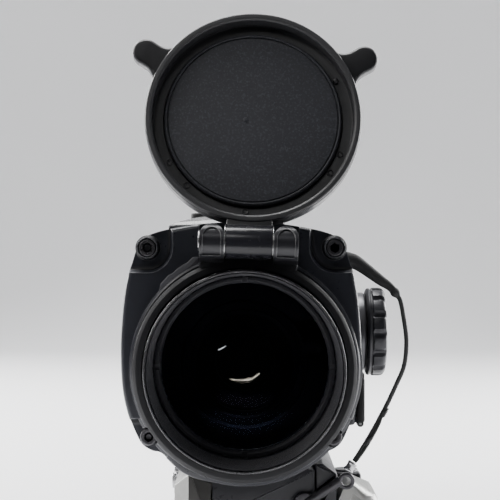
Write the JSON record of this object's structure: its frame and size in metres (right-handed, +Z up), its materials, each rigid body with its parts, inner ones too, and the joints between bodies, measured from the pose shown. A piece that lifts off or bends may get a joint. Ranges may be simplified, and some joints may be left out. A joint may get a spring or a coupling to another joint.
{
  "type": "guide camera",
  "caption": "Boxy black guide camera with a large recessed objective, sprung flip-up lens cover, side focus knob and quick-release rail clamp.",
  "frame": {"origin": "centre of the clamp's flat seat, where it rests on the rail", "axes": "-Y is the way the lens looks, +X is the focus knob's side, +Z is up; the lens axis runs along Y 50 mm above the origin"},
  "size_m": [0.0909, 0.1185, 0.1695],
  "materials": {
    "black_paint": "fine satin black coating",
    "black_anodise": "black anodised",
    "black_plastic": "moulded matt black",
    "rubber": "matt",
    "steel": "turned",
    "black_steel": "blackened",
    "aluminium": "bead blasted, light grey",
    "glass": "coated",
    "pcb": "green solder resist",
    "chip": "polished",
    "grey_plastic": "moulded",
    "amber_film": "film"
  },
  "bodies": {
    "camera": {"front_bezel": "black_paint", "main_housing": "black_paint", "rear_cover": "black_paint", "objective_barrel": "black_anodise", "lens_retaining_ring": "black_anodise", "focus_guide": "black_anodise", "focus_bushing": "black_anodise", "sensor_carrier": "black_anodise", "cover_ring": "black_anodise", "control_panel": "black_plastic", "front_gasket": "rubber", "rear_gasket": "rubber", "tether_boot": "rubber", "tether_cord": "rubber", "sensor_standoff_1": "steel", "sensor_standoff_2": "steel", "usb_connector": "steel", "flap_pin": "steel", "hinge_pin": "steel", "hinge_spring": "steel", "clamp_bolt": "steel", "clamp_nut": "steel", "lever_pin": "steel", "tether_crimp": "steel", "front_screw_1": "black_steel", "front_screw_2": "black_steel", "front_screw_3": "black_steel", "front_screw_4": "black_steel", "rear_screw_1": "black_steel", "rear_screw_2": "black_steel", "rear_screw_3": "black_steel", "rear_screw_4": "black_steel", "cover_ring_screw": "black_steel", "tether_anchor": "black_steel", "fixed_jaw": "aluminium", "mount_base": "black_anodise", "objective_lens": "glass", "sensor_window": "glass", "sensor_board": "pcb", "main_board": "pcb", "port_board": "pcb", "switch_board": "pcb", "sensor_chip": "chip", "guide_connector": "grey_plastic", "flex_cable": "amber_film"},
    "cover": {"lens_cover": "black_plastic", "cover_liner": "rubber"},
    "knob": {"focus_knob": "black_plastic", "knob_screw": "black_steel", "focus_shaft": "steel"},
    "cell": {"focus_cell": "black_anodise", "focus_lens": "glass", "rear_lens": "glass", "focus_lens_ring": "black_anodise"},
    "key_a": {"button_a": "rubber"},
    "key_b": {"button_b": "rubber"},
    "key_c": {"button_c": "rubber"},
    "flap": {"port_flap": "rubber"},
    "lever": {"clamp_lever": "aluminium"},
    "jaw": {"moving_jaw": "black_anodise"}
  },
  "joints": [
    {"name": "cover_hinge", "type": "hinge", "parent": "camera", "child": "cover", "pos_m": [0.0013, -0.059, 0.08918], "axis": [0.9995, 0, -0.0332], "range_deg": [0, 191.5]},
    {"name": "focus_knob_turn", "type": "hinge", "parent": "camera", "child": "knob", "pos_m": [0.0364, -0.02, 0.06], "axis": [1, 0, 0], "range_deg": [-90, 90]},
    {"name": "focus_slide", "type": "slide", "parent": "camera", "child": "cell", "axis": [0, 1, 0], "range_m": [-0.0039, 0.0039]},
    {"name": "press_a", "type": "slide", "parent": "camera", "child": "key_a", "axis": [0, 0, -1], "range_m": [0, 0.0008], "stiffness_N_per_m": 300},
    {"name": "press_b", "type": "slide", "parent": "camera", "child": "key_b", "axis": [0, 0, -1], "range_m": [0, 0.0008], "stiffness_N_per_m": 300},
    {"name": "press_c", "type": "slide", "parent": "camera", "child": "key_c", "axis": [0, 0, -1], "range_m": [0, 0.0008], "stiffness_N_per_m": 300},
    {"name": "flap_hinge", "type": "hinge", "parent": "camera", "child": "flap", "pos_m": [0.0377, -0.0094, 0.03], "axis": [0, 1, 0], "range_deg": [0, 110]},
    {"name": "lever_turn", "type": "hinge", "parent": "camera", "child": "lever", "pos_m": [0.036, 0.014, 0.006], "axis": [0, 0, 1], "range_deg": [0, 90]},
    {"name": "jaw_slide", "type": "slide", "parent": "camera", "child": "jaw", "axis": [1, 0, 0], "range_m": [0, 0.00298]}
  ],
  "couplings": [
    {"joint": "focus_knob_turn", "follows": "focus_slide", "rad_per_m": 400},
    {"joint": "lever_turn", "follows": "jaw_slide", "rad_per_m": 526}
  ]
}
